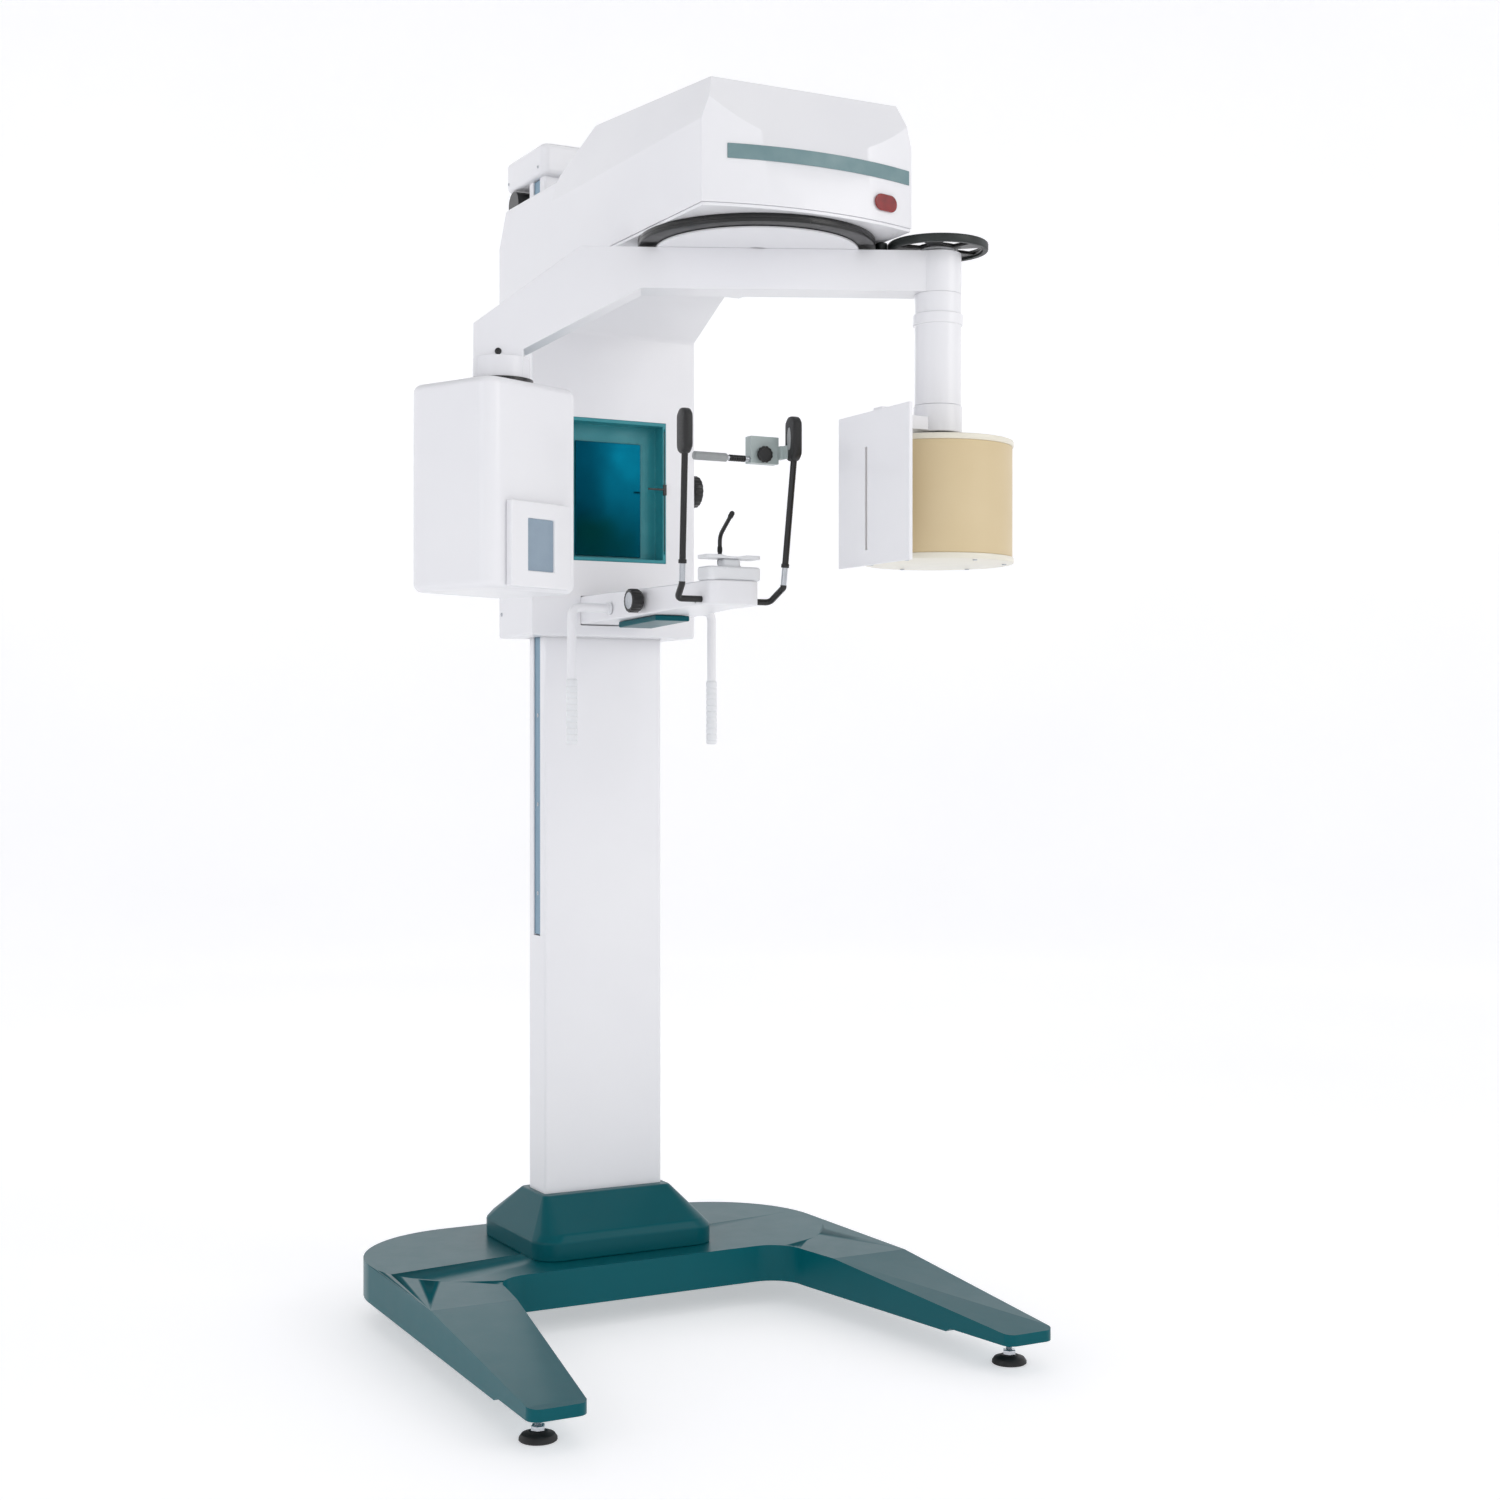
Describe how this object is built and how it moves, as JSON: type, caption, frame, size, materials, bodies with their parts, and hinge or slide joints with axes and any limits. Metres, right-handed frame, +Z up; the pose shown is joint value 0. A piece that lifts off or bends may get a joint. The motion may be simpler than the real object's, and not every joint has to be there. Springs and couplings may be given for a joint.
{
  "type": "panoramic xray machine",
  "caption": "Free-standing dental x-ray machine: column, lifting carriage with chin rest and mirror, and a head with a rotating arm that carries a tube head and a film drum.",
  "frame": {"origin": "on the floor, at the middle of the object's bounding box; the column's middle is at X +17 mm, Y +316 mm and the arm's rotation axis at X +17 mm, Y -264 mm", "axes": "+Z up; the patient sits on the -Y side and faces +Y, towards the column; +X is to the patient's right"},
  "size_m": [0.8823, 0.9883, 1.942],
  "materials": {
    "white_enamel": "gloss powder coat on sheet steel",
    "teal_enamel": "gloss enamel on a welded steel base",
    "black_plastic": "moulded, semi-gloss",
    "foot_rubber": "moulded rubber on a zinc-plated stud",
    "rail_steel": "ground and blued guide rail",
    "machined_steel": "turned and ground",
    "cast_weight": "as cast, painted grey",
    "belt_rubber": "reinforced flat belt",
    "slide_nylon": "machined nylon",
    "surround_teal": "moulded, satin",
    "mirror_blue": "tinted mirror glass",
    "band_grey": "printed film strip, satin, no lettering",
    "lamp_red": "translucent red lens",
    "chin_plastic": "moulded, wipeable",
    "grip_white": "white moulded sleeve on a white rod",
    "pad_vinyl": "foam pad under black vinyl",
    "pad_grey": "grey silicone sleeve",
    "bracket_grey": "pale grey enamel",
    "wheel_rubber": "friction tyre on a moulded disc",
    "drum_cream": "cream enamel on a spun aluminium shell",
    "window_grey": "thin beam-entry window",
    "insert_glass": "sealed glass tube insert",
    "winding_copper": "resin-cast transformer",
    "motor_black": "black gear motor"
  },
  "bodies": {
    "base": {"base_frame": "teal_enamel", "pedestal_cover": "teal_enamel", "column_shell": "white_enamel", "side_rails": "rail_steel", "rail_screws": "machined_steel", "column_cap": "white_enamel", "lift_motor": "motor_black", "lift_belt": "belt_rubber"},
    "foot_front_left": {"foot_front_left": "foot_rubber"},
    "foot_front_right": {"foot_front_right": "foot_rubber"},
    "foot_rear_left": {"foot_rear_left": "foot_rubber"},
    "foot_rear_right": {"foot_rear_right": "foot_rubber"},
    "top_pulley": {"top_pulley": "machined_steel"},
    "bottom_pulley": {"bottom_pulley": "machined_steel"},
    "counterweight": {"counterweight": "cast_weight"},
    "carriage": {"carriage_frame": "machined_steel", "guide_shoes": "slide_nylon", "carriage_housing": "white_enamel", "mirror_surround": "surround_teal", "positioning_mirror": "mirror_blue", "head_hood": "white_enamel", "hood_band": "band_grey", "exposure_lamp": "lamp_red", "head_base_plate": "white_enamel", "slewing_ring": "black_plastic", "rotation_motor": "motor_black", "chin_arm": "white_enamel", "chin_arm_cover": "teal_enamel", "chin_block": "chin_plastic", "chin_cup": "chin_plastic", "hand_grips": "grip_white"},
    "plane_pointer": {"plane_pointer": "black_plastic"},
    "side_knob": {"side_knob": "black_plastic"},
    "drive_pinion": {"drive_pinion": "machined_steel"},
    "bite_rod": {"bite_rod": "black_plastic"},
    "temple_knob": {"temple_knob": "black_plastic"},
    "temple_left": {"temple_arm_left": "black_plastic", "temple_pad_left": "pad_vinyl"},
    "temple_right": {"temple_arm_right": "black_plastic", "temple_pad_right": "pad_vinyl", "forehead_bracket": "bracket_grey"},
    "forehead": {"forehead_bar": "machined_steel", "forehead_pad": "pad_grey"},
    "forehead_knob": {"forehead_knob": "black_plastic"},
    "arm": {"arm_beam": "white_enamel", "arm_hub": "white_enamel", "arm_end_screw": "motor_black", "carrier_tube": "white_enamel"},
    "drive_idler": {"drive_idler": "wheel_rubber"},
    "drum": {"drive_wheel": "wheel_rubber", "drum_shaft": "machined_steel", "film_drum": "drum_cream"},
    "carrier": {"carrier_sleeve": "white_enamel", "slit_shield": "white_enamel"},
    "tube_head": {"tube_head_housing": "white_enamel", "swivel_bearing": "black_plastic", "collimator_block": "white_enamel", "collimator_window": "window_grey", "xray_tube_insert": "insert_glass", "hv_transformer": "winding_copper"}
  },
  "joints": [
    {"name": "foot_front_left_screw", "type": "hinge", "parent": "base", "child": "foot_front_left", "pos_m": [-0.369, -0.357, 0], "axis": [0, 0, 1], "continuous": true},
    {"name": "foot_front_right_screw", "type": "hinge", "parent": "base", "child": "foot_front_right", "pos_m": [0.403, -0.357, 0], "axis": [0, 0, 1], "continuous": true},
    {"name": "foot_rear_left_screw", "type": "hinge", "parent": "base", "child": "foot_rear_left", "pos_m": [-0.313, 0.376, 0], "axis": [0, 0, 1], "continuous": true},
    {"name": "foot_rear_right_screw", "type": "hinge", "parent": "base", "child": "foot_rear_right", "pos_m": [0.347, 0.376, 0], "axis": [0, 0, 1], "continuous": true},
    {"name": "carriage_lift", "type": "slide", "parent": "base", "child": "carriage", "axis": [0, 0, 1], "range_m": [-0.48, 0]},
    {"name": "top_pulley_turn", "type": "hinge", "parent": "base", "child": "top_pulley", "pos_m": [0.017, 0.354, 1.862], "axis": [1, 0, 0], "range_deg": [-1330, 5]},
    {"name": "bottom_pulley_turn", "type": "hinge", "parent": "base", "child": "bottom_pulley", "pos_m": [0.017, 0.354, 0.2], "axis": [1, 0, 0], "range_deg": [-1330, 5]},
    {"name": "counterweight_slide", "type": "slide", "parent": "base", "child": "counterweight", "axis": [0, 0, 1], "range_m": [-0.001, 0.481]},
    {"name": "plane_pointer_slide", "type": "slide", "parent": "carriage", "child": "plane_pointer", "axis": [0, 0, 1], "range_m": [-0.095, 0.09]},
    {"name": "side_knob_turn", "type": "hinge", "parent": "carriage", "child": "side_knob", "pos_m": [0.167, 0.268, 1.375], "axis": [1, 0, 0], "range_deg": [-150, 150]},
    {"name": "arm_rotation", "type": "hinge", "parent": "carriage", "child": "arm", "pos_m": [0.017, -0.264, 1.67], "axis": [0, 0, 1], "range_deg": [-10, 205]},
    {"name": "drive_pinion_turn", "type": "hinge", "parent": "carriage", "child": "drive_pinion", "pos_m": [0.017, -0.1557, 1.706], "axis": [0, 0, 1], "range_deg": [-1050, 60]},
    {"name": "film_drum_turn", "type": "hinge", "parent": "arm", "child": "drum", "pos_m": [0.25989, -0.37726, 1.3], "axis": [0, 0, 1], "range_deg": [-490, 30]},
    {"name": "drive_idler_turn", "type": "hinge", "parent": "arm", "child": "drive_idler", "pos_m": [0.18399, -0.34187, 1.676], "axis": [0, 0, 1], "range_deg": [-200, 3900]},
    {"name": "carrier_swivel", "type": "hinge", "parent": "arm", "child": "carrier", "pos_m": [0.25989, -0.37726, 1.41], "axis": [0, 0, 1], "range_deg": [-30, 10]},
    {"name": "tube_head_swivel", "type": "hinge", "parent": "arm", "child": "tube_head", "pos_m": [-0.32196, -0.10594, 1.47], "axis": [0, 0, 1], "range_deg": [-10, 45]},
    {"name": "temple_left_slide", "type": "slide", "parent": "carriage", "child": "temple_left", "axis": [1, 0, 0], "range_m": [0, 0.024]},
    {"name": "temple_right_slide", "type": "slide", "parent": "carriage", "child": "temple_right", "axis": [-1, 0, 0], "range_m": [0, 0.024]},
    {"name": "temple_knob_turn", "type": "hinge", "parent": "carriage", "child": "temple_knob", "pos_m": [-0.033, 0.02, 1.166], "axis": [1, 0, 0], "range_deg": [-5, 545]},
    {"name": "bite_rod_slide", "type": "slide", "parent": "carriage", "child": "bite_rod", "axis": [0, 0, 1], "range_m": [0, 0.012]},
    {"name": "forehead_bar_slide", "type": "slide", "parent": "temple_right", "child": "forehead", "axis": [1, 0, 0], "range_m": [-0.012, 0.003]},
    {"name": "forehead_knob_turn", "type": "hinge", "parent": "temple_right", "child": "forehead_knob", "pos_m": [0.068, -0.193, 1.378], "axis": [0, 1, 0], "range_deg": [-180, 180]}
  ],
  "couplings": [
    {"joint": "top_pulley_turn", "follows": "carriage_lift", "rad_per_m": 47.962},
    {"joint": "bottom_pulley_turn", "follows": "carriage_lift", "rad_per_m": 47.962},
    {"joint": "counterweight_slide", "follows": "carriage_lift", "ratio": -1},
    {"joint": "drive_pinion_turn", "follows": "arm_rotation", "ratio": -5},
    {"joint": "film_drum_turn", "follows": "arm_rotation", "ratio": -2.349},
    {"joint": "drive_idler_turn", "follows": "arm_rotation", "ratio": 18.9},
    {"joint": "temple_right_slide", "follows": "temple_left_slide", "ratio": 1},
    {"joint": "temple_knob_turn", "follows": "temple_left_slide", "rad_per_m": 390}
  ]
}
